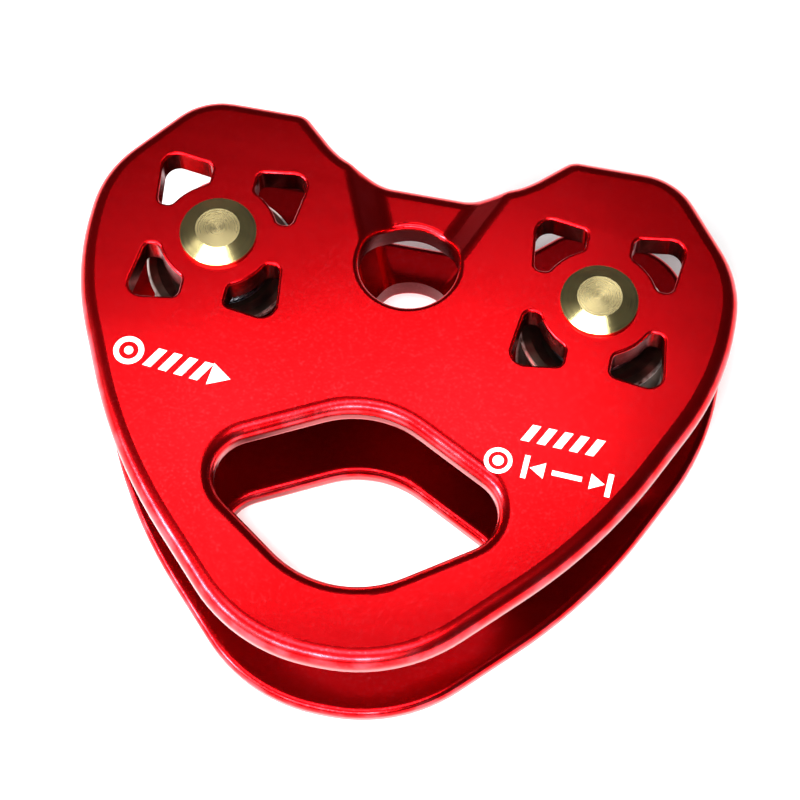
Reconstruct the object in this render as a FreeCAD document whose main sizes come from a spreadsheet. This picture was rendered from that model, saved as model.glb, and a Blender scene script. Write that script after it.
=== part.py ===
"""Tandem rope pulley with two fixed heart-shaped side plates.

Two identical pressed plates face each other across an open rope channel. Two axles with coned heads
hold them apart, and a grooved sheave on a shielded ball bearing turns on each axle.

Frame: the plates lie parallel to XY. +Z points out of the front plate, +Y from the heart's tip to its
two lobes, and +X along the line of the axles. The origin is the centre of the bounding box's bottom,
so the pulley rests on its rear axle heads at Z = 0. All lengths are millimetres.
"""
import FreeCAD, Part
import math
import os
import Sketcher
from FreeCAD import Placement, Rotation, Vector

SIZES = {
    # Stack of the two plates and the axle heads, along Z.
    "plate_thickness": 4.6,
    "rope_channel": 20.0,
    "head_rise": 1.8,
    # Heart outline, measured from the middle of the axle line. Each corner is rounded afterwards.
    "cleft_corner_x": 12.5,
    "cleft_corner_y": 16.3,
    "cleft_radius": 17.0,
    "lobe_inner_x": 22.0,
    "lobe_top_y": 25.3,
    "lobe_inner_radius": 3.5,
    "shoulder_x": 39.4,
    "shoulder_radius": 11.0,
    "side_x": 52.2,
    "side_upper_y": 8.6,
    "side_upper_radius": 19.0,
    "side_lower_y": 9.5,
    "side_lower_radius": 46.0,
    "flank_x": 38.0,
    "flank_y": 39.6,
    "flank_radius": 88.0,
    "tip_x": 12.3,
    "tip_y": 66.2,
    "tip_radius": 27.0,
    "outer_rounding": 2.6,
    "inner_rounding": 1.3,
    # Connector opening below the rope channel.
    "connector_top_y": 23.4,
    "connector_top_radius": 16.0,
    "connector_side_x": 27.75,
    "connector_side_y": 38.0,
    "connector_side_radius": 6.45,
    "connector_low_y": 57.4,
    "connector_low_radius": 17.2,
    "connector_rounding": 2.2,
    # Pressed tab between the lobes, with a round hole in it.
    "joggle_depth": 3.0,
    "joggle_ramp": 5.0,
    "joggle_low_half": 7.0,
    "joggle_spread": 0.41,
    "tab_bend": 4.0,
    "face_bend": 2.8,
    "joggle_overlap": 6.9,
    "tab_hole_y": 1.05,
    "tab_hole_radius": 8.0,
    "tab_hole_rounding": 0.9,
    # Four windows round each axle.
    "window_corner_x": 12.2,
    "window_corner_y": 13.5,
    "window_end": 3.7,
    "window_taper": 1.22,
    "window_arc_radius": 9.4,
    "window_corner_radius": 2.3,
    "window_end_radius": 1.25,
    "window_rounding": 0.45,
    # Axles, along the axle line.
    "axle_x": 30.6,
    "axle_radius": 3.96,
    "axle_bore_radius": 4.0,
    "tenon_radius": 3.0,
    "head_radius": 6.1,
    "head_rim": 0.65,
    "head_flat_radius": 3.55,
    "head_edge": 0.15,
    "spacer_radius": 6.2,
    # Ball bearing.
    "bearing_half_width": 3.0,
    "bearing_radius": 8.0,
    "inner_race_radius": 5.2,
    "outer_race_bore": 6.8,
    "ball_radius": 1.1,
    "ball_circle_radius": 6.0,
    "raceway_radius": 1.15,
    "ball_number": 9,
    "cage_inner_radius": 5.55,
    "cage_outer_radius": 6.45,
    "cage_half_width": 1.5,
    "cage_pocket": 2.4,
    "shield_inner_radius": 5.5,
    "shield_seat_radius": 7.3,
    "shield_low": 2.2,
    "shield_high": 2.6,
    # Sheave and the ring that keeps the bearing in it.
    "sheave_radius": 12.25,
    "sheave_half_width": 6.5,
    "sheave_edge": 0.35,
    "groove_depth": 2.9,
    "groove_radius": 6.9,
    "sheave_shoulder_bore": 6.9,
    "dish_radius": 10.6,
    "dish_inner_radius": 8.9,
    "dish_depth": 0.8,
    "ring_inner_radius": 6.95,
    "ring_seat_radius": 8.45,
    "ring_thickness": 0.8,
    "ring_play": 0.05,
    "ring_gap": 3.2,
}

SHEET = "Sizes"
FULL_TURN = 360.0
HALF_TURN = 180.0
NEAR = 0.02
BEYOND = 90.0
WHEEL_REACH = 20.0
WALL_SLOPE = 0.3
SIDES = {"left": -1, "right": 1}
QUARTERS = [(1, 1), (-1, 1), (-1, -1), (1, -1)]

doc = FreeCAD.newDocument("rope_pulley")


class Size:
    """A length with the spreadsheet expression that gives it."""

    def __init__(self, value, text):
        self.value = value
        self.text = text

    def __add__(self, other):
        other = as_size(other)
        return Size(self.value + other.value, f"({self.text} + {other.text})")

    def __sub__(self, other):
        other = as_size(other)
        return Size(self.value - other.value, f"({self.text} - {other.text})")

    def __mul__(self, factor):
        factor = as_size(factor)
        return Size(self.value * factor.value, f"({self.text} * {factor.text})")

    def __neg__(self):
        return Size(-self.value, f"(-1 * {self.text})")


def as_size(value):
    """A plain number as a Size."""
    if isinstance(value, Size):
        return value
    return Size(float(value), f"({float(value)})")


def write_sheet():
    """Put every driving dimension in the spreadsheet under its own alias."""
    sheet = doc.addObject("Spreadsheet::Sheet", SHEET)
    for row, (alias, value) in enumerate(SIZES.items(), start=1):
        sheet.set(f"A{row}", alias)
        sheet.set(f"B{row}", str(value))
        sheet.setAlias(f"B{row}", alias)
    doc.recompute()
    return sheet


class Lengths:
    """The driving dimensions by name, each as a Size."""

    def __getattr__(self, alias):
        return Size(float(sheet.get(alias)), f"{SHEET}.{alias}")


sheet = write_sheet()
mm = Lengths()


def new_body(label):
    body = doc.addObject("PartDesign::Body", label)
    body.Label = label
    return body


def origin_plane(body, role):
    """The body's own origin plane or axis with this role."""
    return next(item for item in body.Origin.OriginFeatures if item.Role == role)


def new_sketch(body, name, role, height=None):
    """A sketch on one of the body's own origin planes, lifted along its normal by height."""
    sketch = body.newObject("Sketcher::SketchObject", name)
    sketch.AttachmentSupport = [(origin_plane(body, role), "")]
    sketch.MapMode = "FlatFace"
    if height is not None:
        sketch.AttachmentOffset = Placement(Vector(0, 0, height.value), Rotation())
        sketch.setExpression("AttachmentOffset.Base.z", height.text)
    return sketch


def bind(sketch, kind, references, length):
    """Add a dimension to the sketch and tie it to the spreadsheet."""
    index = sketch.addConstraint(Sketcher.Constraint(kind, *references, length.value))
    sketch.setExpression(f"Constraints[{index}]", length.text)


def pin(sketch, edge, end, point):
    """Hold one end of a sketch edge at a point given by two sizes."""
    across, up = point
    if abs(across.value) < NEAR:
        sketch.addConstraint(Sketcher.Constraint("PointOnObject", edge, end, -2))
    else:
        bind(sketch, "DistanceX", (-1, 1, edge, end), across)
    if abs(up.value) < NEAR:
        sketch.addConstraint(Sketcher.Constraint("PointOnObject", edge, end, -1))
    else:
        bind(sketch, "DistanceY", (-1, 1, edge, end), up)


def line(sketch, start, stop):
    """A straight sketch edge between two points given by sizes."""
    ends = [Vector(across.value, up.value, 0) for across, up in (start, stop)]
    return sketch.addGeometry(Part.LineSegment(*ends))


def draw_loop(sketch, corners):
    """A closed loop of straight edges, with every corner held in place."""
    following = corners[1:] + corners[:1]
    edges = [line(sketch, start, stop) for start, stop in zip(corners, following)]
    for edge, next_edge, corner in zip(edges, edges[1:] + edges[:1], corners):
        sketch.addConstraint(Sketcher.Constraint("Coincident", edge, 2, next_edge, 1))
        pin(sketch, edge, 1, corner)


def draw_circle(sketch, centre, radius):
    """A circle held by its centre and radius."""
    middle = Vector(centre[0].value, centre[1].value, 0)
    circle = sketch.addGeometry(Part.Circle(middle, Vector(0, 0, 1), radius.value))
    pin(sketch, circle, 3, centre)
    bind(sketch, "Radius", (circle,), radius)


def draw_window(sketch, axle, sign_x, sign_y):
    """One window in the quarter of a wheel that the two signs name.

    Two tapering outer sides meet at the corner. Their far ends drop to an arc round the axle.
    """
    corner = (axle + mm.window_corner_x * sign_x, mm.window_corner_y * sign_y)
    top_end = (axle + mm.window_end * sign_x, (mm.window_corner_y - mm.window_taper) * sign_y)
    side_end = (axle + (mm.window_corner_x - mm.window_taper) * sign_x, mm.window_end * sign_y)
    reach = math.sqrt(mm.window_arc_radius.value**2 - mm.window_end.value**2)
    arc_top = (top_end[0], as_size(reach * sign_y))
    arc_side = (as_size(axle.value + reach * sign_x), side_end[1])
    edges = [
        line(sketch, arc_top, top_end),
        line(sketch, top_end, corner),
        line(sketch, corner, side_end),
        line(sketch, side_end, arc_side),
    ]
    for edge, next_edge in zip(edges, edges[1:]):
        sketch.addConstraint(Sketcher.Constraint("Coincident", edge, 2, next_edge, 1))
    for edge, point in ((edges[1], top_end), (edges[2], corner), (edges[3], side_end)):
        pin(sketch, edge, 1, point)
    middle = Vector(axle.value, 0, 0)
    angles = [math.atan2(y.value, x.value - axle.value) for x, y in (arc_top, arc_side)]
    counterclockwise = sign_x * sign_y < 0
    if not counterclockwise:
        angles.reverse()
    circle = Part.Circle(middle, Vector(0, 0, 1), mm.window_arc_radius.value)
    arc = sketch.addGeometry(Part.ArcOfCircle(circle, *angles))
    top, side = (1, 2) if counterclockwise else (2, 1)
    sketch.addConstraint(Sketcher.Constraint("Coincident", edges[0], 1, arc, top))
    sketch.addConstraint(Sketcher.Constraint("Coincident", edges[3], 2, arc, side))
    sketch.addConstraint(Sketcher.Constraint("Vertical", edges[0]))
    sketch.addConstraint(Sketcher.Constraint("Horizontal", edges[3]))
    pin(sketch, arc, 3, (axle, as_size(0)))
    bind(sketch, "Radius", (arc,), mm.window_arc_radius)


def solid_feature(body, kind, name, sketch, length=None, **settings):
    """Add a PartDesign feature to the body and recompute, so that the next one can read it."""
    feature = body.newObject(f"PartDesign::{kind}", name)
    feature.Profile = sketch
    if length is not None:
        feature.setExpression("Length", length.text)
    for setting, value in settings.items():
        setattr(feature, setting, value)
    doc.recompute()
    return feature


def cut_feature(body, kind, name, sketch, length=None, **settings):
    """A solid_feature that has to take material away."""
    before = body.Shape.Volume
    feature = solid_feature(body, kind, name, sketch, length, **settings)
    if body.Shape.Volume >= before - NEAR:
        raise RuntimeError(f"{body.Label}: {name} cut nothing")
    return feature


def round_edges(body, name, radius, chosen):
    """Round the edges of the body that the function chosen picks out."""
    base = body.Tip
    picked = [f"Edge{i}" for i, edge in enumerate(base.Shape.Edges, start=1) if chosen(edge)]
    if not picked:
        raise RuntimeError(f"{body.Label}: {name} found no edge")
    fillet = body.newObject("PartDesign::Fillet", name)
    fillet.Base = (base, picked)
    fillet.setExpression("Radius", radius.text)
    doc.recompute()
    if fillet.Shape.isNull() or not fillet.Shape.isValid():
        raise RuntimeError(f"{body.Label}: {name} could not be rounded")
    return fillet


def upright_at(points):
    """A test for straight edges along Z that stand at one of the points."""
    places = [(across.value, up.value) for across, up in points]

    def chosen(edge):
        ends = [vertex.Point for vertex in edge.Vertexes]
        if len(ends) != 2 or math.dist(ends[0][:2], ends[1][:2]) > NEAR:
            return False
        return any(math.dist(ends[0][:2], place) < NEAR for place in places)

    return chosen


def both_sides(points):
    """The points and their mirror images across X = 0, once each."""
    mirrored = [(-across, up) for across, up in points if abs(across.value) > NEAR]
    return list(points) + mirrored


def middle_of(edge):
    """The point halfway along an edge."""
    first, last = edge.ParameterRange
    return edge.valueAt((first + last) / 2)


def heart_corners():
    """Corners of one lobe from the cleft round to the tip, each with its rounding."""
    return [
        (mm.cleft_corner_x, mm.cleft_corner_y, mm.cleft_radius),
        (mm.lobe_inner_x, mm.lobe_top_y, mm.lobe_inner_radius),
        (mm.shoulder_x, mm.lobe_top_y, mm.shoulder_radius),
        (mm.side_x, mm.side_upper_y, mm.side_upper_radius),
        (mm.side_x, -mm.side_lower_y, mm.side_lower_radius),
        (mm.flank_x, -mm.flank_y, mm.flank_radius),
        (mm.tip_x, -mm.tip_y, mm.tip_radius),
    ]


def connector_corners():
    """Corners of the connector opening, each with its rounding."""
    return [
        (as_size(0), -mm.connector_top_y, mm.connector_top_radius),
        (mm.connector_side_x, -mm.connector_side_y, mm.connector_side_radius),
        (as_size(0), -mm.connector_low_y, mm.connector_low_radius),
    ]


def press_tab(body):
    """Set the tab between the lobes back by the joggle depth, towards the other plate.

    The ramp is a prism along the crease, cut once on each face and mirrored. The two cuts are
    parallel, so the plate keeps its thickness. Below the tab hole's middle the face stays level.
    """
    low = mm.joggle_low_half
    narrow = low - mm.joggle_ramp
    along = Vector(mm.joggle_spread.value, 1, 0)
    outside = as_size(BEYOND)
    sections = {
        "Recess": (mm.plate_thickness, -mm.joggle_overlap),
        "Relief": (as_size(0), outside),
    }
    cuts = []
    for name, (level, limit) in sections.items():
        set_back = level - mm.joggle_depth
        sketch = new_sketch(body, f"{name}Section", "XZ_Plane", -mm.tab_hole_y)
        draw_loop(sketch, [(low, level), (narrow, set_back), (limit, set_back), (limit, level)])
        cut = cut_feature(
            body, "Pocket", name, sketch, outside, UseCustomVector=True, Direction=along
        )
        cuts.append(cut)
    mirror = body.newObject("PartDesign::Mirrored", "OtherRamp")
    mirror.Originals = cuts
    mirror.MirrorPlane = (origin_plane(body, "YZ_Plane"), [""])
    body.Tip = mirror
    doc.recompute()

    level_part = new_sketch(body, "ReliefBelow", "XY_Plane", as_size(0))
    corners = [(-outside, mm.tab_hole_y), (-outside, -outside), (outside, -outside), (outside, mm.tab_hole_y)]
    draw_loop(level_part, corners)
    cut_feature(body, "Pocket", "ReliefLevel", level_part, mm.joggle_depth)

    hole = new_sketch(body, "TabHole", "XY_Plane", mm.plate_thickness)
    draw_circle(hole, (as_size(0), mm.tab_hole_y), mm.tab_hole_radius)
    cut_feature(body, "Pocket", "TabHoleCut", hole, Type="ThroughAll")

    def crease(edge, inner):
        ends = [vertex.Point for vertex in edge.Vertexes]
        if len(ends) != 2 or abs(ends[0].z - ends[1].z) > NEAR or edge.Length < mm.joggle_ramp.value:
            return False
        step = ends[0] - ends[1]
        slanted = abs(abs(step.x) - mm.joggle_spread.value * abs(step.y)) < NEAR
        tab_level = min(abs(ends[0].z - level.value) for level in tab_levels) < NEAR
        return slanted and tab_level == inner

    tab_levels = (mm.plate_thickness - mm.joggle_depth, -mm.joggle_depth)
    round_edges(body, "TabBends", mm.tab_bend, lambda edge: crease(edge, True))
    round_edges(body, "FaceBends", mm.face_bend, lambda edge: crease(edge, False))


def drill_wheels(body):
    """Cut the axle bore and the four windows of each wheel, and soften the windows' edges."""
    bores = new_sketch(body, "AxleBores", "XY_Plane", mm.plate_thickness)
    for side in SIDES.values():
        draw_circle(bores, (mm.axle_x * side, as_size(0)), mm.axle_bore_radius)
    cut_feature(body, "Pocket", "AxleBoreCut", bores, Type="ThroughAll")

    windows = new_sketch(body, "Windows", "XY_Plane", mm.plate_thickness)
    for side in SIDES.values():
        for sign_x, sign_y in QUARTERS:
            draw_window(windows, mm.axle_x * side, sign_x, sign_y)
    cut_feature(body, "Pocket", "WindowCut", windows, Type="ThroughAll")

    def window_corners(edge):
        across, up = corner_place(edge)
        return math.dist((across, up), (mm.window_corner_x.value, mm.window_corner_y.value)) < NEAR

    def window_ends(edge):
        across, up = corner_place(edge)
        inside = across < mm.window_corner_x.value - NEAR and up < mm.window_corner_y.value - NEAR
        return inside and math.hypot(across, up) > mm.head_radius.value

    round_edges(body, "WindowCorners", mm.window_corner_radius, window_corners)
    round_edges(body, "WindowEnds", mm.window_end_radius, window_ends)


def corner_place(edge):
    """Distance of an upright edge from its wheel's axle, or far away for any other edge."""
    ends = [vertex.Point for vertex in edge.Vertexes]
    if len(ends) != 2 or math.dist(ends[0][:2], ends[1][:2]) > NEAR:
        return BEYOND, BEYOND
    across = abs(abs(ends[0].x) - mm.axle_x.value)
    up = abs(ends[0].y)
    if math.hypot(across, up) > WHEEL_REACH:
        return BEYOND, BEYOND
    return across, up


def near_wheel(point):
    return math.hypot(abs(point.x) - mm.axle_x.value, point.y) < WHEEL_REACH


def near_window(point):
    return near_wheel(point) and math.hypot(abs(point.x) - mm.axle_x.value, point.y) > mm.head_radius.value


def near_tab_hole(point):
    return math.hypot(point.x, point.y - mm.tab_hole_y.value) < mm.tab_hole_radius.value + NEAR


def near_connector(point):
    across = abs(point.x) < mm.connector_side_x.value
    return across and -mm.connector_low_y.value < point.y < -mm.connector_top_y.value


def near_outline(point):
    return not (near_wheel(point) or near_tab_hole(point) or near_connector(point))


def normal_height(face, point):
    """How far the face points up at a point near it, from -1 to 1."""
    return face.normalAt(*face.Surface.parameter(point)).z


def round_rims(body, name, radius, region, facing):
    """Round the rims in a region where a wall meets the outer (+1) or the inner (-1) face."""
    shape = body.Tip.Shape

    def rim(edge):
        middle = middle_of(edge)
        if not region(middle):
            return False
        slopes = sorted(normal_height(face, middle) for face in shape.ancestorsOfType(edge, Part.Face))
        if facing < 0:
            slopes = [-slope for slope in reversed(slopes)]
        return len(slopes) == 2 and abs(slopes[0]) < WALL_SLOPE < slopes[1]

    return round_edges(body, name, radius, rim)


def make_plate(label):
    """One side plate: inner face at Z = 0 and outer face at the plate's thickness."""
    body = new_body(label)
    heart = heart_corners()
    right = [(across, up) for across, up, _ in heart]
    left = [(-across, up) for across, up in reversed(right)]
    outline = new_sketch(body, "Outline", "XY_Plane", -mm.joggle_depth)
    draw_loop(outline, right + left)
    solid_feature(body, "Pad", "Blank", outline, mm.plate_thickness + mm.joggle_depth)
    for number, (across, up, radius) in enumerate(heart):
        round_edges(body, f"OutlineCorner{number}", radius, upright_at(both_sides([(across, up)])))

    opening = connector_corners()
    top, side, low = [(across, up) for across, up, _ in opening]
    connector = new_sketch(body, "Connector", "XY_Plane", mm.plate_thickness)
    draw_loop(connector, [top, side, low, (-side[0], side[1])])
    cut_feature(body, "Pocket", "ConnectorOpening", connector, Type="ThroughAll")
    for number, (across, up, radius) in enumerate(opening):
        round_edges(body, f"ConnectorCorner{number}", radius, upright_at(both_sides([(across, up)])))

    press_tab(body)
    drill_wheels(body)
    round_rims(body, "OutlineOuterRim", mm.outer_rounding, near_outline, 1)
    round_rims(body, "OutlineInnerRim", mm.inner_rounding, near_outline, -1)
    round_rims(body, "ConnectorOuterRim", mm.connector_rounding, near_connector, 1)
    round_rims(body, "ConnectorInnerRim", mm.inner_rounding, near_connector, -1)
    round_rims(body, "TabHoleRim", mm.tab_hole_rounding, near_tab_hole, 1)
    round_rims(body, "WindowRim", mm.window_rounding, near_window, 1)
    return body


def turned(label, profile, axle, turned_over=False):
    """A body of revolution about its own Z axis, set on one axle at the middle of the stack."""
    body = new_body(label)
    sketch = new_sketch(body, "Profile", "XZ_Plane")
    draw_loop(sketch, profile)
    solid_feature(body, "Revolution", "Turning", sketch, ReferenceAxis=(sketch, ["V_Axis"]))
    place_on_axle(body, axle, turned_over)
    return body


def place_on_axle(item, axle, turned_over=False):
    """Put an object's own origin on an axle, halfway between the plates."""
    item.Placement = Placement(Vector(), Rotation(Vector(0, 1, 0), HALF_TURN if turned_over else 0))
    for axis, length in zip("xyz", (axle, axle_line_y(), middle_z())):
        item.setExpression(f"Placement.Base.{axis}", length.text)


def ring_groove(body, name, centre_radius, radius):
    """Turn a round-bottomed groove into the body, at the middle of its width."""
    sketch = new_sketch(body, f"{name}Section", "XZ_Plane")
    draw_circle(sketch, (centre_radius, as_size(0)), radius)
    return cut_feature(body, "Groove", name, sketch, ReferenceAxis=(sketch, ["V_Axis"]))


def axle_line_y():
    """Height of the axle line over the middle of the bounding box, along Y."""
    return (mm.tip_y - mm.lobe_top_y) * 0.5


def middle_z():
    """Height of the plane halfway between the plates."""
    return mm.head_rise + mm.plate_thickness + mm.rope_channel * 0.5


def outer_face():
    """Distance of each plate's outer face from the middle plane."""
    return mm.plate_thickness + mm.rope_channel * 0.5


def head_profile(hub, seat):
    """Half section of a coned axle head that sits on the plane seat, from the hub radius out."""
    top = seat + mm.head_rise
    return [
        (hub, seat),
        (mm.head_radius - mm.head_edge, seat),
        (mm.head_radius, seat + mm.head_edge),
        (mm.head_radius, seat + mm.head_rim),
        (mm.head_flat_radius, top),
        (hub, top),
    ]


def make_axle_pin(name, axle):
    """Axle with its front head in one piece, and a tenon at the rear end for the riveted cap."""
    seat = outer_face()
    head = head_profile(as_size(0), seat)[1:]
    shank = [
        (as_size(0), -seat - mm.head_rise),
        (mm.tenon_radius, -seat - mm.head_rise),
        (mm.tenon_radius, -seat),
        (mm.axle_radius, -seat),
        (mm.axle_radius, seat),
    ]
    return turned(f"{name}_axle_pin", shank + head, axle)


def make_axle_cap(name, axle):
    """Coned cap riveted on the rear end of the axle."""
    return turned(f"{name}_axle_cap", head_profile(mm.tenon_radius, outer_face()), axle, True)


def make_spacer(name, place, axle):
    """Bush between a plate and the bearing's inner race."""
    low = mm.bearing_half_width
    high = mm.rope_channel * 0.5
    profile = [
        (mm.axle_bore_radius, low),
        (mm.spacer_radius, low),
        (mm.spacer_radius, high),
        (mm.axle_bore_radius, high),
    ]
    return turned(f"{name}_{place}_spacer", profile, axle, place == "rear")


def make_race(name, place, axle, bore, rim):
    """A bearing race with a ball groove."""
    half = mm.bearing_half_width
    profile = [(bore, -half), (rim, -half), (rim, half), (bore, half)]
    body = turned(f"{name}_bearing_{place}_race", profile, axle)
    ring_groove(body, "Raceway", mm.ball_circle_radius, mm.raceway_radius)
    return body


def cut_shield_seats(body):
    """Recess both faces of the outer race for the shields."""
    for number, sign in enumerate((1, -1)):
        sketch = new_sketch(body, f"ShieldSeat{number}", "XZ_Plane")
        low = mm.shield_low * sign
        high = mm.shield_high * sign
        inside = mm.outer_race_bore - mm.raceway_radius
        corners = [(inside, low), (mm.shield_seat_radius, low), (mm.shield_seat_radius, high), (inside, high)]
        draw_loop(sketch, corners)
        axis = (sketch, ["V_Axis"])
        cut_feature(body, "Groove", f"ShieldSeatCut{number}", sketch, ReferenceAxis=axis)


def make_shield(name, place, axle):
    """Thin washer in the outer race that covers the balls."""
    profile = [
        (mm.shield_inner_radius, mm.shield_low),
        (mm.shield_seat_radius, mm.shield_low),
        (mm.shield_seat_radius, mm.shield_high),
        (mm.shield_inner_radius, mm.shield_high),
    ]
    return turned(f"{name}_bearing_{place}_shield", profile, axle, place == "rear")


def ball_group(label, radius, axle):
    """A ring of equal balls on the ball circle, as one group of separate solids."""
    balls = []
    for number in range(int(mm.ball_number.value)):
        turn = FULL_TURN * number / mm.ball_number.value
        ball = doc.addObject("Part::Sphere", f"{label}_{number}")
        ball.setExpression("Radius", radius.text)
        ball.setExpression("Placement.Base.x", f"{mm.ball_circle_radius.text} * cos({turn} deg)")
        ball.setExpression("Placement.Base.y", f"{mm.ball_circle_radius.text} * sin({turn} deg)")
        balls.append(ball)
    group = doc.addObject("Part::Compound", label)
    group.Label = label
    group.Links = balls
    place_on_axle(group, axle)
    return group


def make_cage(name, axle):
    """Ring that keeps the balls apart, with a square pocket round each ball."""
    half = mm.cage_half_width
    inner = mm.cage_inner_radius
    outer = mm.cage_outer_radius
    ring = [(inner, -half), (outer, -half), (outer, half), (inner, half)]
    body = turned(f"{name}_bearing_cage", ring, axle)
    pocket = mm.cage_pocket * 0.5
    sketch = new_sketch(body, "BallPocket", "YZ_Plane")
    draw_loop(sketch, [(-pocket, -pocket), (pocket, -pocket), (pocket, pocket), (-pocket, pocket)])
    cut = cut_feature(body, "Pocket", "BallPocketCut", sketch, mm.bearing_radius, Reversed=True)
    pattern = body.newObject("PartDesign::PolarPattern", "BallPockets")
    pattern.Originals = [cut]
    pattern.Axis = (origin_plane(body, "Z_Axis"), [""])
    pattern.Angle = FULL_TURN
    pattern.Occurrences = int(mm.ball_number.value)
    body.Tip = pattern
    doc.recompute()
    return body


def make_sheave(name, axle):
    """Grooved wheel, dished on both faces, with a shouldered seat for the bearing."""
    half = mm.sheave_half_width
    edge = mm.sheave_edge
    seat = mm.bearing_half_width
    floor = half - mm.dish_depth
    slot_low = seat + mm.ring_play
    slot_high = slot_low + mm.ring_thickness + mm.ring_play
    rear = [
        (mm.sheave_shoulder_bore, -seat),
        (mm.sheave_shoulder_bore, -floor),
        (mm.dish_inner_radius, -floor),
        (mm.dish_radius, -half),
        (mm.sheave_radius - edge, -half),
        (mm.sheave_radius, -half + edge),
    ]
    front = [
        (mm.sheave_radius, half - edge),
        (mm.sheave_radius - edge, half),
        (mm.dish_radius, half),
        (mm.dish_inner_radius, floor),
        (mm.bearing_radius, floor),
        (mm.bearing_radius, slot_high),
        (mm.ring_seat_radius, slot_high),
        (mm.ring_seat_radius, slot_low),
        (mm.bearing_radius, slot_low),
        (mm.bearing_radius, -seat),
    ]
    body = turned(f"{name}_sheave", rear + front, axle)
    bottom = mm.sheave_radius - mm.groove_depth
    ring_groove(body, "RopeGroove", bottom + mm.groove_radius, mm.groove_radius)
    return body


def make_retaining_ring(name, axle):
    """Open spring ring that keeps the bearing against the sheave's shoulder."""
    low = mm.bearing_half_width + mm.ring_play
    high = low + mm.ring_thickness
    inner = mm.ring_inner_radius
    outer = mm.ring_seat_radius - mm.ring_play
    flat_ring = [(inner, low), (outer, low), (outer, high), (inner, high)]
    body = turned(f"{name}_retaining_ring", flat_ring, axle)
    gap = new_sketch(body, "Gap", "XY_Plane", high)
    half = mm.ring_gap * 0.5
    reach = mm.bearing_radius * 2
    draw_loop(gap, [(-half, as_size(0)), (half, as_size(0)), (half, reach), (-half, reach)])
    cut_feature(body, "Pocket", "GapCut", gap, Type="ThroughAll")
    return body


def make_wheel(name, side):
    """Every piece on one axle."""
    axle = mm.axle_x * side
    outer_race = make_race(name, "outer", axle, mm.outer_race_bore, mm.bearing_radius)
    cut_shield_seats(outer_race)
    return [
        make_axle_pin(name, axle),
        make_axle_cap(name, axle),
        make_spacer(name, "front", axle),
        make_spacer(name, "rear", axle),
        make_sheave(name, axle),
        make_retaining_ring(name, axle),
        outer_race,
        make_race(name, "inner", axle, mm.axle_bore_radius, mm.inner_race_radius),
        ball_group(f"{name}_bearing_balls", mm.ball_radius, axle),
        make_cage(name, axle),
        make_shield(name, "front", axle),
        make_shield(name, "rear", axle),
    ]


def place_plate(plate, height, turned_over=False):
    """Set a plate's inner face at this height, with the axle line in place."""
    plate.Placement = Placement(Vector(), Rotation(Vector(0, 1, 0), HALF_TURN if turned_over else 0))
    plate.setExpression("Placement.Base.y", axle_line_y().text)
    plate.setExpression("Placement.Base.z", height.text)


def check_document(nodes):
    """Stop if any object failed to build or any sub-part has no valid solid."""
    for item in doc.Objects:
        if "Invalid" in item.State or "Error" in item.State:
            raise RuntimeError(f"{item.Label} failed to build: {item.State}")
    for node in nodes:
        shape = node.Shape
        if shape.isNull() or not shape.isValid() or not shape.Solids:
            raise RuntimeError(f"{node.Label} has no valid solid")


front_plate = make_plate("front_side_plate")
rear_plate = make_plate("rear_side_plate")
place_plate(front_plate, mm.head_rise + mm.plate_thickness + mm.rope_channel)
place_plate(rear_plate, mm.head_rise + mm.plate_thickness, turned_over=True)
sub_parts = [front_plate, rear_plate]
for wheel_name, wheel_side in SIDES.items():
    sub_parts += make_wheel(wheel_name, wheel_side)
doc.recompute()
check_document(sub_parts)

os.makedirs("parts", exist_ok=True)
for sub_part in sub_parts:
    sub_part.Shape.exportStep(f"parts/{sub_part.Label}.step")
    box = sub_part.Shape.BoundBox
    print(f"{sub_part.Label}: {sub_part.Shape.Volume:.0f} mm3, z {box.ZMin:.2f} to {box.ZMax:.2f}")
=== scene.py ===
"""Looks of a tandem rope pulley: two red anodised plates, two turned axles and two dark sheaves.

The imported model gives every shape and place. This script dresses its parts, adds the printed marks on
the front plate, and sets up the studio. Lengths are metres, with +Z out of the front plate.
"""
from __future__ import annotations

import logging
import math
from dataclasses import dataclass, field
from enum import Enum
from typing import Any, Optional, Union

import bmesh
import bpy
from mathutils import Matrix, Vector

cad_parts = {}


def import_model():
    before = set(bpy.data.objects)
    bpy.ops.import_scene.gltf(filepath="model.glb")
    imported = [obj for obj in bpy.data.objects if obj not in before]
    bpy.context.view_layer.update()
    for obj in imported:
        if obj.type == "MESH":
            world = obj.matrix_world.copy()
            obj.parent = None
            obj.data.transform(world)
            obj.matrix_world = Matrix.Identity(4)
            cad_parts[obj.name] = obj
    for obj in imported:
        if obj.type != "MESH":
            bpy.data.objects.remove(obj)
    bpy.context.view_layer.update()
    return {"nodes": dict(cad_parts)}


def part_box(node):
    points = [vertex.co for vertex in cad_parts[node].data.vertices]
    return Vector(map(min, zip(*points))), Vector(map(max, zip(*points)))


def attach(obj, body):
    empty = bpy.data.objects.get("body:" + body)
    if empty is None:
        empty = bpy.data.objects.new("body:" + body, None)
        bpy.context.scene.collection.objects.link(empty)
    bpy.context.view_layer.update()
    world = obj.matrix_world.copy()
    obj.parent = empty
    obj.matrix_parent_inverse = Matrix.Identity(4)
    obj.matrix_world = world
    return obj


LOG = logging.getLogger("rope_pulley")
MM = 0.001
RING_CORNERS = 40
DISC_CORNERS = 32
JOIN = 1e-4

Number = Union[int, float]
Triple = tuple[float, float, float]
Colour = Triple


class Side(Enum):
    """The two ends of the pulley."""

    LEFT = "left"
    RIGHT = "right"


class Face(Enum):
    """The two sides of the rope channel."""

    FRONT = "front"
    REAR = "rear"


# ---------------------------------------------------------------- shader values and recipes


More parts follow.
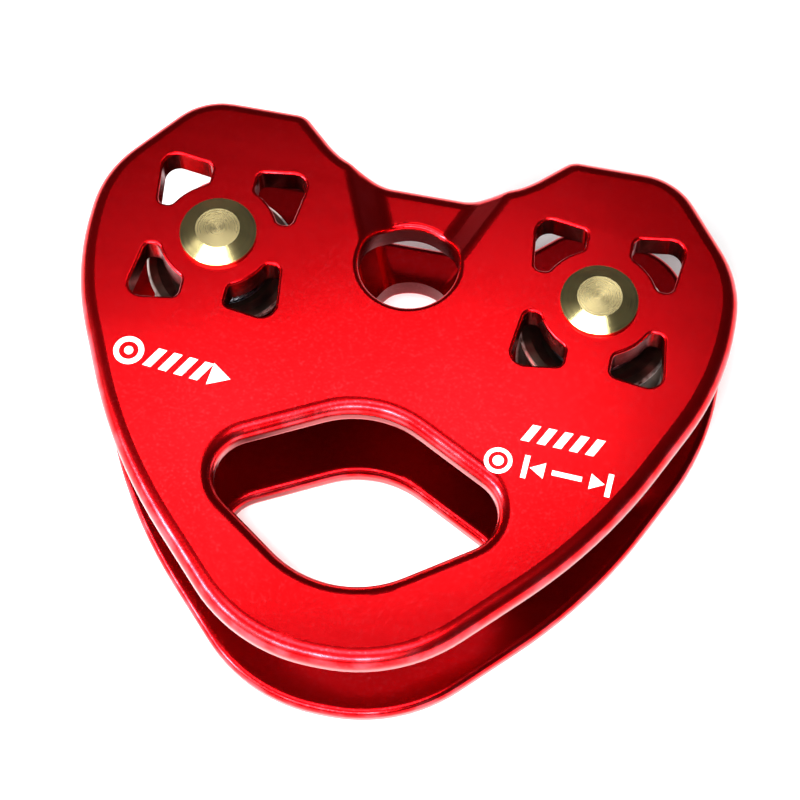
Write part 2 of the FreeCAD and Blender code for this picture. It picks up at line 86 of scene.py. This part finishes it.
class Value:
    """A number that varies over a surface, so that sums with it add Math nodes."""

    def __init__(self, tree: bpy.types.NodeTree, socket: bpy.types.NodeSocket) -> None:
        """Wraps the output socket that gives the number, with the tree that it belongs to."""
        self.tree = tree
        self.socket = socket

    def _math(self, operation: str, *terms: Union["Value", Number], clamp: bool = False) -> "Value":
        """Adds a Math node.

        Args:
            operation: The node's operation.
            terms: Its inputs in order.
            clamp: Whether the result stays between 0 and 1.

        Returns:
            The node's result.
        """
        node = self.tree.nodes.new("ShaderNodeMath")
        node.operation = operation
        node.use_clamp = clamp
        for socket, term in zip(node.inputs, terms):
            if isinstance(term, Value):
                self.tree.links.new(term.socket, socket)
            else:
                socket.default_value = term
        return Value(self.tree, node.outputs[0])

    def __add__(self, other: Union["Value", Number]) -> "Value":
        """Sum."""
        return self._math("ADD", self, other)

    __radd__ = __add__

    def __sub__(self, other: Union["Value", Number]) -> "Value":
        """Difference."""
        return self._math("SUBTRACT", self, other)

    def __rsub__(self, other: Number) -> "Value":
        """A number less this value."""
        return self._math("SUBTRACT", other, self)

    def __mul__(self, other: Union["Value", Number]) -> "Value":
        """Product."""
        return self._math("MULTIPLY", self, other)

    __rmul__ = __mul__

    def __truediv__(self, other: Union["Value", Number]) -> "Value":
        """Quotient."""
        return self._math("DIVIDE", self, other)

    def __pow__(self, power: Union["Value", Number]) -> "Value":
        """Power."""
        return self._math("POWER", self, power)

    def __abs__(self) -> "Value":
        """Size without its sign."""
        return self._math("ABSOLUTE", self)

    def clamped(self) -> "Value":
        """This value kept between 0 and 1."""
        return self._math("ADD", self, 0.0, clamp=True)

    def rise(self, low: float, high: float) -> "Value":
        """A smooth step from 0 at low to 1 at high, which may be the lower of the two."""
        part = ((self - low) / (high - low)).clamped()
        return part * part * (3.0 - 2.0 * part)


class Recipe:
    """The material of one finish while it is being put together."""

    def __init__(self, name: str) -> None:
        """Starts an empty material with a Principled surface.

        Args:
            name: The material's name.
        """
        self.material = bpy.data.materials.new(name)
        self.material.use_nodes = True
        self.tree = self.material.node_tree
        self.tree.nodes.clear()
        output = self.node("ShaderNodeOutputMaterial")
        self.surface = self.node("ShaderNodeBsdfPrincipled")
        self.tree.links.new(self.surface.outputs["BSDF"], output.inputs["Surface"])
        self.place = self.node("ShaderNodeTexCoord").outputs["Object"]

    def node(
        self,
        kind: str,
        settings: Optional[dict[str, Any]] = None,
        inputs: Optional[dict[Any, Any]] = None,
    ) -> bpy.types.Node:
        """Adds any node other than a Math node.

        Args:
            kind: The node's type.
            settings: Its properties, set before its sockets.
            inputs: Its sockets by name or number, with plain values, Values or sockets.

        Returns:
            The node.
        """
        node = self.tree.nodes.new(kind)
        for key, value in (settings or {}).items():
            setattr(node, key, value)
        for key, value in (inputs or {}).items():
            self.put(node.inputs[key], value)
        return node

    def put(self, socket: bpy.types.NodeSocket, value: Any) -> None:
        """Links or sets one socket.

        Args:
            socket: The input to fill.
            value: A Value, a socket or a plain value.
        """
        if isinstance(value, Value):
            self.tree.links.new(value.socket, socket)
        elif isinstance(value, bpy.types.NodeSocket):
            self.tree.links.new(value, socket)
        elif isinstance(value, tuple) and socket.type == "RGBA":
            socket.default_value = (*value, 1.0)
        else:
            socket.default_value = value

    def value(self, socket: bpy.types.NodeSocket) -> Value:
        """Wraps a socket of this material."""
        return Value(self.tree, socket)

    def axes(self) -> tuple[Value, Value, Value]:
        """X, Y and Z of the surface's point."""
        split = self.node("ShaderNodeSeparateXYZ", inputs={0: self.place})
        return self.value(split.outputs[0]), self.value(split.outputs[1]), self.value(split.outputs[2])

    def flatness(self) -> Value:
        """Tells faces from walls.

        Returns:
            1 on faces square to Z, 0 on walls along Z, and between on bevels and roundings.
        """
        normal = self.node("ShaderNodeNewGeometry").outputs["Normal"]
        split = self.node("ShaderNodeSeparateXYZ", inputs={0: normal})
        return abs(self.value(split.outputs[2]))

    def noise(self, scale: float, detail: float = 2.0, stretch: Triple = (1.0, 1.0, 1.0)) -> Value:
        """Noise through the part's space.

        Args:
            scale: Patches in a metre.
            detail: Levels of finer noise.
            stretch: Factors on the scale along X, Y and Z.

        Returns:
            The noise, about 0.5 on average.
        """
        place = self.node("ShaderNodeMapping", inputs={"Vector": self.place, "Scale": stretch})
        made = self.node(
            "ShaderNodeTexNoise", inputs={"Vector": place.outputs[0], "Scale": scale, "Detail": detail}
        )
        return self.value(made.outputs[0])

    def line_noise(self, along: Value, scale: float, detail: float = 2.0) -> Value:
        """Noise that changes only with one value, such as a radius.

        Args:
            along: What the noise follows.
            scale: Patches for each unit of it.
            detail: Levels of finer noise.

        Returns:
            The noise, about 0.5 on average.
        """
        inputs = {"W": along, "Scale": scale, "Detail": detail}
        made = self.node("ShaderNodeTexNoise", {"noise_dimensions": "1D"}, inputs)
        return self.value(made.outputs[0])

    def mix(self, share: Union[Value, float], first: Any, second: Any) -> bpy.types.NodeSocket:
        """Mixes two colours or colour sockets, with this share of the second."""
        made = self.node("ShaderNodeMix", {"data_type": "RGBA"}, {0: share, 6: first, 7: second})
        return made.outputs[2]

    def bump(self, height: Value, depth: float, strength: float = 1.0) -> None:
        """Roughens the surface.

        Args:
            height: The height pattern, from 0 to 1.
            depth: What 1 stands for, in metres.
            strength: How much of it shows.
        """
        inputs = {"Height": height, "Distance": depth, "Strength": strength}
        made = self.node("ShaderNodeBump", inputs=inputs)
        self.put(self.surface.inputs["Normal"], made.outputs[0])

    def finish(self, **sockets: Any) -> bpy.types.Material:
        """Fills the surface's sockets.

        Args:
            sockets: Values by socket name, with _ for a space.

        Returns:
            The finished material.
        """
        for name, value in sockets.items():
            title = name.replace("_", " ").title().replace("Ior", "IOR")
            self.put(self.surface.inputs[title], value)
        return self.material


# ---------------------------------------------------------------- finishes


@dataclass(frozen=True)
class RedAnodising:
    """Bead-blasted aluminium with a deep red anodised coat, with painted shade on its steep walls and on the
    faces between the plates.
    """

    bright: Colour = (0.84, 0.005, 0.009)
    deep: Colour = (0.70, 0.003, 0.006)
    # painted shade: the dark red that the steep walls are mixed towards
    painted_wall_shade: Colour = (0.13, 0.0006, 0.0015)
    # painted shade: the darker red for the faces between the plates
    inner: Colour = (0.34, 0.0012, 0.003)
    rubbed: Colour = (0.92, 0.14, 0.18)
    channel: tuple[float, float] = (0.0, 0.0)
    blasting: float = 2600.0
    clouds: float = 38.0
    rolling: float = 420.0
    wear: float = 240.0
    sheen: float = 0.245
    depth: float = 0.010 * MM

    def material(self) -> bpy.types.Material:
        """Makes the finish.

        Returns:
            The material.
        """
        kit = Recipe("red_anodising")
        flat = kit.flatness()
        grain = kit.noise(self.blasting, 2.0)
        cloud = kit.noise(self.clouds, 3.0)
        rolled = kit.noise(self.rolling, 2.0, (0.06, 1.0, 1.0))
        rounding = 4.0 * flat * (1.0 - flat)
        worn = rounding.rise(0.35, 0.95) * kit.noise(self.wear, 3.0).rise(0.42, 0.70)
        tone = (0.86 * cloud + 0.14 * rolled).rise(0.30, 0.66)
        colour = kit.mix(tone, self.deep, self.bright)
        _, _, height = kit.axes()
        middle = (self.channel[0] + self.channel[1]) / 2.0
        half = (self.channel[1] - self.channel[0]) / 2.0
        # Painted shade: faces between the plates, towards the rope, are mixed towards a darker red.
        channel_shade = 1.0 - abs(height - middle).rise(half - 0.1 * MM, half + 0.9 * MM)
        colour = kit.mix(channel_shade, colour, self.inner)
        # Painted shade: steep walls are mixed towards a dark red.
        colour = kit.mix((1.0 - flat).rise(0.70, 0.98) * 0.85, colour, self.painted_wall_shade)
        colour = kit.mix(grain.rise(0.52, 0.76) * 0.10, colour, self.rubbed)
        colour = kit.mix(worn * 0.30, colour, self.rubbed)
        kit.bump(grain, self.depth, 0.35)
        return kit.finish(
            base_color=colour,
            metallic=1.0,
            roughness=self.sheen + 0.03 * (grain - 0.5) + 0.02 * (rolled - 0.5),
            coat_weight=0.03,
            coat_roughness=0.18,
            coat_ior=1.5,
        )


@dataclass(frozen=True)
class TurnedMetal:
    """Metal turned on a lathe about the pulley's axle lines, with fine rings from the tool."""

    name: str
    light: Colour
    dark: Colour
    roughness: float
    axle_x: float
    axle_y: float
    rings: float = 0.22 * MM
    depth: float = 0.006 * MM
    # share of painted shade on flat faces, which also makes them rougher
    flat_shade_and_dullness: float = 0.0
    smears: float = 310.0
    handling: float = 90.0

    def radius(self, kit: Recipe) -> Value:
        """Distance from the nearer axle line."""
        x, y, _ = kit.axes()
        return ((abs(x) - self.axle_x) ** 2.0 + (y - self.axle_y) ** 2.0) ** 0.5

    def material(self) -> bpy.types.Material:
        """Makes the finish.

        Returns:
            The material.
        """
        kit = Recipe(self.name)
        radius = self.radius(kit)
        feed = kit.line_noise(radius, 1.0 / self.rings, 3.0)
        band = kit.line_noise(radius, 0.3 / self.rings, 1.0)
        smear = kit.noise(self.smears, 3.0)
        handled = kit.noise(self.handling, 2.0).rise(0.48, 0.72)
        flat = kit.flatness()
        level = flat.rise(0.96, 0.995)
        colour = kit.mix((0.40 * feed + 0.60 * smear).rise(0.24, 0.56), self.dark, self.light)
        colour = kit.mix(handled * 0.22, colour, self.dark)
        # Painted shade: flat faces are mixed towards the dark colour.
        colour = kit.mix(level * self.flat_shade_and_dullness, colour, self.dark)
        rough = self.roughness + 0.10 * self.flat_shade_and_dullness * level + 0.05 * handled
        rough = rough + 0.10 * (feed - 0.5) + 0.10 * (smear - 0.5)
        kit.bump((0.7 * feed + 0.3 * band) * (0.15 + 0.85 * level), self.depth, 0.8)
        return kit.finish(
            base_color=colour,
            metallic=1.0,
            roughness=rough,
            anisotropic=0.50,
            anisotropic_rotation=0.25,
        )


@dataclass(frozen=True)
class DarkSheave:
    """Dark bronze anodising on a turned sheave, rubbed bright on its rims and in its rope groove."""

    turned: TurnedMetal
    rim: float
    black: Colour = (0.020, 0.014, 0.011)
    brown: Colour = (0.075, 0.046, 0.034)
    bare: Colour = (0.58, 0.50, 0.46)
    blotches: float = 170.0
    chips: float = 520.0

    def material(self) -> bpy.types.Material:
        """Makes the finish.

        Returns:
            The material.
        """
        kit = Recipe("dark_sheave")
        radius = self.turned.radius(kit)
        _, _, z = kit.axes()
        feed = kit.line_noise(radius, 1.0 / self.turned.rings, 3.0)
        lay = kit.line_noise(z, 1.0 / self.turned.rings, 2.0)
        blotch = kit.noise(self.blotches, 3.0)
        flat = kit.flatness()
        rims = radius.rise(self.rim - 0.55 * MM, self.rim - 0.15 * MM)
        rims = rims * kit.noise(self.chips, 3.0).rise(0.30, 0.58)
        colour = kit.mix(blotch.rise(0.32, 0.68), self.black, self.brown)
        colour = kit.mix((1.0 - flat).rise(0.4, 0.9) * (lay.rise(0.50, 0.80) * 0.10), colour, self.bare)
        colour = kit.mix(rims * 0.75, colour, self.bare)
        kit.bump(flat * feed + (1.0 - flat) * lay, self.turned.depth * 1.5, 0.8)
        return kit.finish(
            base_color=colour,
            metallic=1.0,
            roughness=0.38 + 0.10 * (blotch - 0.5) + 0.08 * (feed - 0.5),
            coat_weight=0.10,
            coat_roughness=0.25,
        )


@dataclass(frozen=True)
class PrintingInk:
    """White screen-printed ink with a slightly broken, chalky skin."""

    full: Colour = (0.93, 0.92, 0.90)
    thin: Colour = (0.88, 0.62, 0.60)
    pinholes: float = 5200.0
    screen: float = 1500.0

    def material(self) -> bpy.types.Material:
        """Makes the finish.

        Returns:
            The material.
        """
        kit = Recipe("white_ink")
        pores = kit.noise(self.pinholes, 2.0)
        mesh = kit.noise(self.screen, 2.0)
        colour = kit.mix(pores.rise(0.62, 0.82) * mesh.rise(0.45, 0.70) * 0.7, self.full, self.thin)
        kit.bump(0.5 * pores + 0.5 * mesh, 0.010 * MM, 0.5)
        return kit.finish(base_color=colour, metallic=0.0, roughness=0.50 + 0.15 * (mesh - 0.5))


@dataclass(frozen=True)
class StudioPaper:
    """Plain pale paper under the pulley."""

    sheet: Colour = (0.93, 0.93, 0.93)
    fibre: Colour = (0.90, 0.90, 0.905)
    lit: Colour = (1.0, 1.0, 1.0)
    glow: float = 0.15
    fibres: float = 900.0

    def material(self) -> bpy.types.Material:
        """Makes the finish.

        Returns:
            The material.
        """
        kit = Recipe("studio_paper")
        fibres = kit.noise(self.fibres, 3.0)
        colour = kit.mix(fibres, self.sheet, self.fibre)
        kit.bump(fibres, 0.02 * MM, 0.2)
        return kit.finish(
            base_color=colour,
            roughness=0.85 + 0.1 * (fibres - 0.5),
            emission_color=self.lit,
            emission_strength=self.glow,
        )


# ---------------------------------------------------------------- parts of the pulley


def dress(names: list[str], nodes: dict[str, bpy.types.Object], finish: bpy.types.Material) -> None:
    """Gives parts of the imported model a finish.

    Args:
        names: The parts' names.
        nodes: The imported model's parts.
        finish: The material they get.
    """
    for name in names:
        mesh = nodes[name].data
        mesh.materials.clear()
        mesh.materials.append(finish)
        LOG.info("%s is dressed in %s", name, finish.name)


@dataclass
class SidePlates:
    """The two heart-shaped plates."""

    nodes: dict[str, bpy.types.Object]

    def build(self) -> None:
        """Dresses both plates, with painted shade on their faces towards the rope, between the plates."""
        low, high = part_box("left_rear_spacer")[0][2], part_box("left_front_spacer")[1][2]
        finish = RedAnodising(channel=(low, high)).material()
        dress([f"{face.value}_side_plate" for face in Face], self.nodes, finish)


@dataclass
class Workshop:
    """The finishes that both axles and both wheels share."""

    axle_x: float
    axle_y: float
    rim: float
    brass: bpy.types.Material = field(init=False)
    ground: bpy.types.Material = field(init=False)
    spring: bpy.types.Material = field(init=False)
    bearing: bpy.types.Material = field(init=False)
    cage: bpy.types.Material = field(init=False)
    sheave: bpy.types.Material = field(init=False)

    def __post_init__(self) -> None:
        """Mixes each finish once."""
        brass = self.turned("turned_brass", (0.98, 0.82, 0.36), (0.62, 0.50, 0.25), 0.19, 0.7)
        self.brass = brass.material()
        self.ground = self.turned("ground_steel", (0.62, 0.62, 0.63), (0.34, 0.34, 0.36), 0.28).material()
        self.spring = self.turned("spring_steel", (0.20, 0.21, 0.24), (0.07, 0.08, 0.10), 0.34).material()
        self.bearing = self.turned("bearing_steel", (0.74, 0.74, 0.76), (0.46, 0.46, 0.48), 0.16).material()
        self.cage = self.turned("cage_brass", (0.78, 0.60, 0.26), (0.40, 0.28, 0.12), 0.36).material()
        self.sheave = DarkSheave(brass, self.rim).material()

    def turned(
        self, name: str, light: Colour, dark: Colour, roughness: float, flat_shade_and_dullness: float = 0.0
    ) -> TurnedMetal:
        """A finish turned about this pulley's axle lines, with painted shade darkening its flat faces and
        those faces made rougher, by the last argument's share.
        """
        return TurnedMetal(name, light, dark, roughness, self.axle_x, self.axle_y, flat_shade_and_dullness=flat_shade_and_dullness)


@dataclass
class Axle:
    """One riveted axle with its spacers."""

    side: Side
    nodes: dict[str, bpy.types.Object]
    shop: Workshop

    def build(self) -> None:
        """Dresses the pin, its cap and the spacers."""
        name = self.side.value
        dress([f"{name}_axle_pin", f"{name}_axle_cap"], self.nodes, self.shop.brass)
        dress([f"{name}_{face.value}_spacer" for face in Face], self.nodes, self.shop.ground)


@dataclass
class Wheel:
    """One sheave with its retaining ring and ball bearing."""

    side: Side
    nodes: dict[str, bpy.types.Object]
    shop: Workshop

    def build(self) -> None:
        """Dresses the wheel's parts."""
        name = self.side.value
        dress([f"{name}_sheave"], self.nodes, self.shop.sheave)
        dress([f"{name}_retaining_ring"], self.nodes, self.shop.spring)
        races = [f"{name}_bearing_{race}_race" for race in ("outer", "inner")]
        shields = [f"{name}_bearing_{face.value}_shield" for face in Face]
        dress([*races, *shields, f"{name}_bearing_balls"], self.nodes, self.shop.bearing)
        dress([f"{name}_bearing_cage"], self.nodes, self.shop.cage)


class Stencil:
    """Flat signs cut in a stencil, printed on the front plate as one thin layer of ink."""

    def __init__(self) -> None:
        """Starts an empty stencil, in millimetres about its own middle."""
        self.mesh = bmesh.new()

    def ring(self, x: float, y: float, outer: float, inner: float) -> None:
        """Cuts a ring.

        Args:
            x: Its middle.
            y: Its middle.
            outer: Its outer radius.
            inner: Its inner radius.
        """
        edges: list[bmesh.types.BMEdge] = []
        for radius in (outer, inner):
            made = bmesh.ops.create_circle(
                self.mesh,
                cap_ends=False,
                segments=RING_CORNERS,
                radius=radius,
                matrix=Matrix.Translation((x, y, 0.0)),
            )
            edges.extend(dict.fromkeys(edge for vertex in made["verts"] for edge in vertex.link_edges))
        bmesh.ops.bridge_loops(self.mesh, edges=edges)

    def disc(self, x: float, y: float, radius: float, corners: int = DISC_CORNERS, turn: float = 0.0) -> None:
        """Cuts a disc or a regular shape, with its first corner turned by degrees from +Y."""
        place = Matrix.Translation((x, y, 0.0)) @ Matrix.Rotation(math.radians(turn), 4, "Z")
        bmesh.ops.create_circle(self.mesh, cap_ends=True, segments=corners, radius=radius, matrix=place)

    def bar(self, x: float, y: float, width: float, height: float, slant: float = 0.0) -> None:
        """Cuts a bar, upright or leaning.

        Args:
            x: Its middle.
            y: Its middle.
            width: Its width along X.
            height: Its height along Y.
            slant: How far its top is shifted along X.
        """
        lean = Matrix.Identity(4)
        lean[0][0], lean[0][1], lean[0][3] = width, slant, x
        lean[1][1], lean[1][3] = height, y
        bmesh.ops.create_grid(self.mesh, x_segments=1, y_segments=1, size=0.5, matrix=lean)

    def print_on(self, name: str, place: Matrix, thickness: float) -> bpy.types.Object:
        """Turns the stencil into a layer of ink.

        Args:
            name: The new piece's name.
            place: Where the stencil's middle lies, in metres.
            thickness: The ink's thickness in millimetres.

        Returns:
            The printed piece.
        """
        bmesh.ops.recalc_face_normals(self.mesh, faces=self.mesh.faces)
        copy = bmesh.ops.duplicate(self.mesh, geom=list(self.mesh.faces))["geom"]
        faces = [part for part in copy if isinstance(part, bmesh.types.BMFace)]
        top = bmesh.ops.extrude_face_region(self.mesh, geom=faces)["geom"]
        raised = [part for part in top if isinstance(part, bmesh.types.BMVert)]
        bmesh.ops.translate(self.mesh, verts=raised, vec=(0.0, 0.0, thickness))
        bmesh.ops.remove_doubles(self.mesh, verts=self.mesh.verts, dist=JOIN)
        bmesh.ops.transform(self.mesh, matrix=place @ Matrix.Scale(MM, 4), verts=self.mesh.verts)
        bmesh.ops.recalc_face_normals(self.mesh, faces=self.mesh.faces)
        data = bpy.data.meshes.new(name)
        self.mesh.to_mesh(data)
        self.mesh.free()
        piece = bpy.data.objects.new(name, data)
        bpy.context.scene.collection.objects.link(piece)
        return piece


@dataclass
class PrintedMarks:
    """Plain signs printed on the front plate: which way the rope runs, and its thickness."""

    face_z: float
    left_middle: tuple[float, float] = (-32.4, -3.2)
    right_middle: tuple[float, float] = (27.9, -7.1)
    left_turn: float = -6.0
    right_turn: float = -2.5
    ink: float = 0.04

    def build(self) -> None:
        """Prints both marks."""
        finish = PrintingInk().material()
        for name, stencil, middle, turn in (
            ("rope_running_mark", self.running_sign(), self.left_middle, self.left_turn),
            ("rope_thickness_mark", self.thickness_sign(), self.right_middle, self.right_turn),
        ):
            place = Matrix.Translation((middle[0] * MM, middle[1] * MM, self.face_z))
            piece = stencil.print_on(name, place @ Matrix.Rotation(math.radians(turn), 4, "Z"), self.ink)
            piece.data.materials.append(finish)
            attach(piece, "frame")
            LOG.info("%s is printed", name)

    def running_sign(self) -> Stencil:
        """A sheave beside a length of twisted rope and an arrow head.

        Returns:
            The stencil, 18.6 mm wide and 5 mm high.
        """
        stencil = Stencil()
        stencil.ring(-6.9, 0.0, 2.4, 1.55)
        stencil.disc(-6.9, 0.0, 0.7)
        for strand in range(4):
            stencil.bar(-2.6 + 2.55 * strand, 0.0, 1.35, 3.4, 1.5)
        stencil.disc(7.6, 0.0, 2.2, 3, -90.0)
        return stencil

    def thickness_sign(self) -> Stencil:
        """A rope's strands above its round section between two limits.

        Returns:
            The stencil, 20.4 mm wide and 9.6 mm high.
        """
        stencil = Stencil()
        for strand in range(5):
            stencil.bar(-4.4 + 2.5 * strand + 0.6, 3.0, 1.3, 2.9, 1.3)
        stencil.ring(-7.6, -2.6, 2.15, 1.5)
        stencil.disc(-7.6, -2.6, 0.85)
        stencil.bar(-3.4, -2.6, 0.8, 3.8)
        stencil.disc(-1.2, -2.6, 1.5, 3, 90.0)
        stencil.bar(3.0, -2.6, 4.6, 0.8)
        stencil.disc(7.3, -2.6, 1.5, 3, -90.0)
        stencil.bar(9.5, -2.6, 0.8, 3.8)
        return stencil


# ---------------------------------------------------------------- studio


@dataclass(frozen=True)
class Lamp:
    """A soft rectangular light that faces the pulley."""

    name: str
    place: Triple
    size: tuple[float, float]
    watts: float

    def hang(self, target: Vector) -> None:
        """Hangs the light.

        Args:
            target: The point that it faces.
        """
        data = bpy.data.lights.new(self.name, "AREA")
        data.shape = "RECTANGLE"
        data.size, data.size_y = self.size
        data.energy = self.watts
        light = bpy.data.objects.new(self.name, data)
        light.location = self.place
        light.rotation_euler = (target - light.location).to_track_quat("-Z", "Y").to_euler()
        bpy.context.scene.collection.objects.link(light)


LAMPS = (
    Lamp("key_light", (-0.074, 0.215, 0.56), (0.24, 0.06), 0.28),
    Lamp("top_light", (-0.04, -0.20, 0.56), (0.56, 0.14), 4.2),
    Lamp("side_light", (-0.48, -0.26, 0.26), (0.30, 0.07), 8.0),
    Lamp("rim_light", (-0.04, -0.50, 0.32), (0.45, 0.05), 6.0),
)


@dataclass
class Studio:
    """Paper floor, soft lights and the camera."""

    eye: Vector = field(default_factory=lambda: Vector((0.0359, -0.1456, 0.3391)))
    gaze: Vector = field(default_factory=lambda: Vector((-0.0946, 0.4195, -0.9028)))
    upward: Vector = field(default_factory=lambda: Vector((-0.1808, 0.8846, 0.4299)))
    middle: Vector = field(default_factory=lambda: Vector((0.0, 0.0, 0.015)))
    lens: float = 100.4
    sensor: float = 36.0
    nearest: float = 0.01
    reach: float = 2.5
    sky_strength: float = 0.06

    def build(self) -> None:
        """Sets up everything round the pulley."""
        self.floor()
        self.sky()
        for lamp in LAMPS:
            lamp.hang(self.middle)
        self.camera()

    def floor(self) -> None:
        """Lays the paper under the rear axle heads."""
        mesh = bmesh.new()
        bmesh.ops.create_grid(mesh, x_segments=8, y_segments=8, size=self.reach)
        data = bpy.data.meshes.new("studio_floor")
        mesh.to_mesh(data)
        mesh.free()
        data.materials.append(StudioPaper().material())
        sheet = bpy.data.objects.new("studio_floor", data)
        bpy.context.scene.collection.objects.link(sheet)

    def sky(self) -> None:
        """Fills the room with a soft even light."""
        world = bpy.data.worlds.new("studio")
        world.use_nodes = True
        sky = world.node_tree.nodes["Background"].inputs
        sky["Color"].default_value = (1.0, 1.0, 1.0, 1.0)
        sky["Strength"].default_value = self.sky_strength
        bpy.context.scene.world = world
        bpy.context.scene.view_settings.view_transform = "Standard"

    def camera(self) -> None:
        """Stands the camera over the front plate."""
        data = bpy.data.cameras.new("camera")
        data.lens = self.lens
        data.sensor_width = self.sensor
        data.clip_start = self.nearest
        forward = self.gaze.normalized()
        right = forward.cross(self.upward).normalized()
        above = right.cross(forward)
        turn = Matrix((right, above, -forward)).transposed().to_4x4()
        eye = bpy.data.objects.new("camera", data)
        eye.matrix_world = Matrix.Translation(self.eye) @ turn
        bpy.context.scene.collection.objects.link(eye)
        bpy.context.scene.camera = eye


def main() -> None:
    """Builds the pulley's looks in order."""
    logging.basicConfig(level=logging.INFO, format="%(message)s")
    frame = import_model()
    nodes = frame["nodes"]
    low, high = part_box("right_sheave")
    centre = ((low[0] + high[0]) / 2.0, (low[1] + high[1]) / 2.0)
    shop = Workshop(centre[0], centre[1], (high[0] - low[0]) / 2.0)
    SidePlates(nodes).build()
    for side in Side:
        Axle(side, nodes, shop).build()
        Wheel(side, nodes, shop).build()
    PrintedMarks(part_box("front_side_plate")[1][2]).build()
    Studio().build()


if __name__ == "__main__":
    main()
